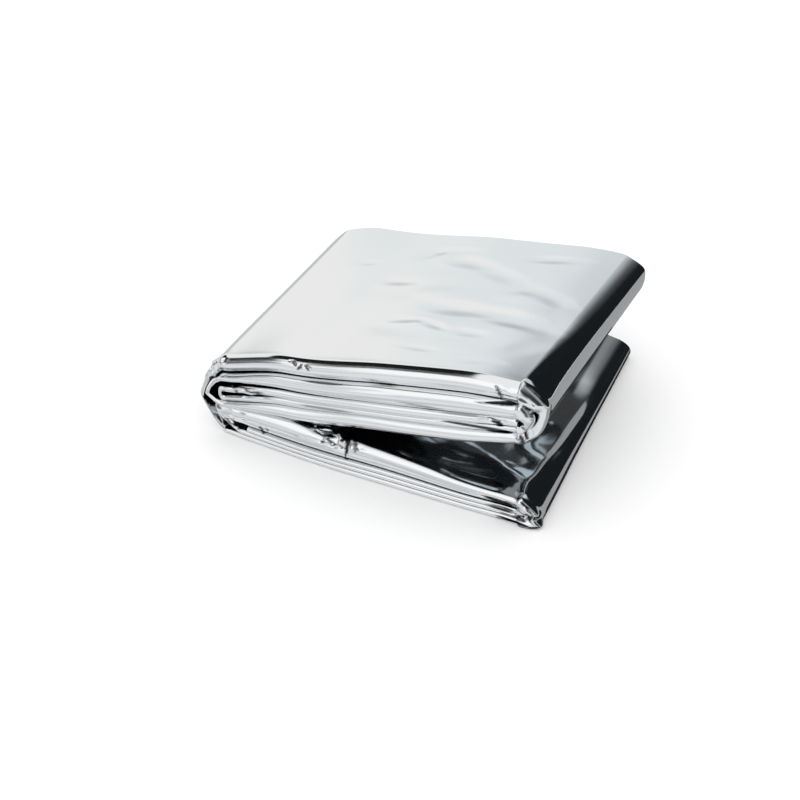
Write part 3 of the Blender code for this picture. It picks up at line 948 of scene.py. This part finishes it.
# What the film mirrors is a dome of light and shade that the camera doesn't see. Each zone
# runs between two compass bearings (0 is +Y and 90 is +X) and two heights above the
# horizon, in degrees, with soft edges, and has a brightness and a tint of its own. It lies
# over the zones before it. The dome's radius is in metres and its step in degrees.
DOME_RADIUS = 2.5
DOME_STEP = 1.0
Zone = namedtuple("Zone", "name compass_from compass_to low high side_soft height_soft glow tint")
DOME_GLOW = 0.93
ZONES = tuple(Zone(*row) for row in (
    ("back light, warm", -82.0, -35.0, 6.0, 33.0, 10.0, 8.0, 0.935, (1.0, 0.99, 0.98)),
    ("back light, cool", -28.5, -14.0, 6.0, 33.0, 8.0, 8.0, 0.86, (0.95, 1.0, 1.0)),
    ("back light, right end", -20.0, -6.0, 6.0, 40.0, 10.0, 8.0, 0.78, (0.94, 0.995, 1.02)),
    ("falling off to the right", -8.0, 60.0, -5.0, 30.0, 17.0, 10.0, 0.012, (0.9, 1.0, 1.1)),
    ("low back light", -76.0, -8.0, -12.0, -1.5, 14.0, 16.0, 0.5, (0.93, 1.0, 1.02)),
    ("shade above the back light", -8.0, 7.0, 38.0, 60.0, 14.0, 10.0, 0.27, (0.95, 1.0, 1.02)),
    ("dark side of the room", 17.0, 72.0, -5.0, 52.0, 13.0, 10.0, 0.012, (0.85, 1.0, 1.12)),
    ("dark side, above the window", -8.5, 17.0, 30.0, 41.0, 12.0, 6.0, 0.012, (0.85, 1.0, 1.12)),
    ("window behind, seen through the gap", -14.0, 8.0, 6.0, 25.0, 8.0, 4.0, 0.66, (0.86, 0.99, 1.06)),
    ("dark corner", 84.0, 148.0, -5.0, 52.0, 13.0, 10.0, 0.02, (0.9, 1.0, 1.08)),
    ("wall on the right", 85.0, 99.0, -5.0, 52.0, 9.0, 10.0, 0.36, (0.93, 1.0, 1.05)),
    ("front softbox", 152.0, 268.0, 27.0, 62.0, 16.0, 10.0, 1.1, (1.0, 1.0, 1.0)),
    ("front wall", 150.0, 265.0, 4.0, 12.0, 16.0, 12.0, 0.78, (1.0, 0.995, 1.0)),
    ("dark card on the left", -116.0, -96.0, 26.0, 38.5, 5.0, 3.0, 0.014, (0.9, 1.0, 1.08)),
    ("its edge in half shade", -107.0, -93.0, 30.0, 40.0, 12.0, 4.0, 0.014, (0.9, 1.0, 1.08)),
    ("its low corner", -133.0, -116.0, 13.0, 26.0, 6.0, 4.0, 0.04, (0.9, 1.0, 1.08)),
    ("strip along the horizon", 130.0, 350.0, 0.0, 2.0, 10.0, 4.0, 0.5, (0.95, 1.0, 1.05)),
))

# The dark gap overhead between the lights, in shares of the height above: from the left to
# the right, and from the front to the back. Nothing counts as lower than LEAST_HEIGHT.
OVERHEAD_GAP = (-1.17, -0.47, -0.2, 0.81)
OVERHEAD_SOFT = 0.1
OVERHEAD_GLOW = 0.012
LEAST_HEIGHT = 1e-6


def dome_colours(directions):
    """What the dome glows with in each direction."""
    compass = np.degrees(np.arctan2(directions[:, 0], directions[:, 1]))
    height = np.degrees(np.arcsin(np.clip(directions[:, 2], -1, 1)))
    colours = np.full_like(directions, DOME_GLOW)
    for zone in ZONES:
        middle = 0.5 * (zone.compass_from + zone.compass_to)
        bearing = middle + (compass - middle + 180) % 360 - 180
        mask = (fade(bearing, zone.compass_from, zone.compass_to, zone.side_soft)
                * fade(height, zone.low, zone.high, zone.height_soft))
        colours += mask[:, None] * (zone.glow * np.array(zone.tint) - colours)
    left, right, front, back = OVERHEAD_GAP
    up = np.maximum(directions[:, 2], LEAST_HEIGHT)
    mask = (fade(directions[:, 0] / up, left, right, OVERHEAD_SOFT)
            * fade(directions[:, 1] / up, front, back, OVERHEAD_SOFT))
    colours += mask[:, None] * (OVERHEAD_GLOW - colours)
    return colours


def make_dome():
    """The studio's lights and dark cards, as one dome with a colour at each point."""
    heights = np.radians(np.arange(0, 90 + DOME_STEP, DOME_STEP))
    bearings = np.radians(np.arange(0, 360, DOME_STEP))
    height, bearing = np.meshgrid(heights, bearings, indexing="ij")
    flat = np.cos(height)
    directions = np.stack([np.sin(bearing) * flat, np.cos(bearing) * flat, np.sin(height)], axis=2)
    directions = directions.reshape(-1, 3)
    index = np.arange(height.size).reshape(height.shape)
    after = np.roll(index, -1, axis=1)
    quads = faces_of(index[:-1], after[:-1], after[1:], index[1:])
    dome = make_object("studio_dome", (directions * DOME_RADIUS).tolist(), quads)
    colours = np.ones((len(directions), 4))
    colours[:, :3] = dome_colours(directions)
    attribute = dome.data.color_attributes.new("glow", "FLOAT_COLOR", "POINT")
    attribute.data.foreach_set("color", colours.ravel())
    material = glow_material("studio_glow", (1, 1, 1), 1.0)
    tree = material.node_tree
    colour = add_node(tree, "Attribute", {}, attribute_name="glow").outputs["Color"]
    set_sockets(tree, tree.nodes["Emission"], {"Color": colour})
    dome.data.materials.append(material)
    reflected_only(dome)


# The table top that the film mirrors around it, which the camera doesn't see, with its light
# and the blanket's shadow on it painted as glows: from x to x and from y to y, in metres, how
# far the far end is shifted along x, and its brightness.
# Each area lies over the ones before it, and all of them between the floor and the blanket.
FLOOR_DROP = 0.0004
CARD_DROP = 0.0003
CARD_RISE = 0.00003
CARD_TINT = (0.98, 1.0, 1.02)
TableArea = namedtuple("TableArea", "name x_from x_to y_from y_to slant glow")
TABLE_AREAS = (
    TableArea("right of the blanket", 0.066, 0.9, -0.1, 1.2, 0.0, 0.36),
    TableArea("close to the right side", 0.066, 0.092, -0.09, 0.08, -0.014, 0.015),
    TableArea("behind the blanket", -0.09, 0.066, 0.078, 1.2, 0.0, 0.05),
    TableArea("behind and far to the left", -1.5, -0.09, 0.0, 1.6, 0.0, 0.6),
    TableArea("in front of the blanket", -1.2, 1.0, -1.4, -0.1, 0.0, 0.84),
    TableArea("close to the front", -0.3, 0.3, -0.1, -0.076, 0.0, 0.6),
)


def make_table_cards():
    """The table top's light and the blanket's shadow on it, painted as glowing cards."""
    for index, area in enumerate(TABLE_AREAS):
        corners = [(area.x_from, area.y_from, 0), (area.x_to, area.y_from, 0),
                   (area.x_to + area.slant, area.y_to, 0), (area.x_from + area.slant, area.y_to, 0)]
        name = "table_" + area.name.replace(" ", "_")
        card = make_object(name, corners, [(0, 1, 2, 3)])
        card.location.z = CARD_RISE * index - CARD_DROP
        card.data.materials.append(glow_material(name, CARD_TINT, area.glow))
        reflected_only(card)


FLOOR_REACH = 6.0
FLOOR_LOOK = {"Base Color": (0.95, 0.95, 0.95, 1), "Roughness": 0.9, "Specular IOR Level": 0.1}
ROOM_LIGHT = 1.22


def make_floor():
    """The plain pale floor, a little lower than the blanket's underside."""
    corners = [(x * FLOOR_REACH, y * FLOOR_REACH, 0) for x, y in ((-1, -1), (1, -1), (1, 1), (-1, 1))]
    floor = make_object("floor", corners, [(0, 1, 2, 3)])
    floor.location.z = -FLOOR_DROP
    material, tree = new_material("floor")
    set_sockets(tree, tree.nodes["Principled BSDF"], FLOOR_LOOK)
    floor.data.materials.append(material)


def make_world():
    """Even white light from all round, which also lights the floor."""
    world = bpy.data.worlds.new("studio")
    world.use_nodes = True
    tree = world.node_tree
    set_sockets(tree, tree.nodes["Background"], {"Color": (1.0, 1.0, 1.0, 1), "Strength": ROOM_LIGHT})
    bpy.context.scene.world = world


def make_studio():
    """The light, the floor and all that the film mirrors."""
    bpy.context.scene.view_settings.view_transform = "Standard"
    make_world()
    make_floor()
    make_dome()
    make_table_cards()


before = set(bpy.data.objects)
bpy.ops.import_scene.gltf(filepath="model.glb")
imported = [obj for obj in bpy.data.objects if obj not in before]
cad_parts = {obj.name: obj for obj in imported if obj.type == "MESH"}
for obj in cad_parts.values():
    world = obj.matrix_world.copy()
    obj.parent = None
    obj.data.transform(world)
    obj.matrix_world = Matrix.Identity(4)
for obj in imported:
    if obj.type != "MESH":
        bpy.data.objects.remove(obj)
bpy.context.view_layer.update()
make_camera()
make_studio()
film = make_film()
film.data.materials.append(film_material())
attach(film, "root")
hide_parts(NODE_NAME)
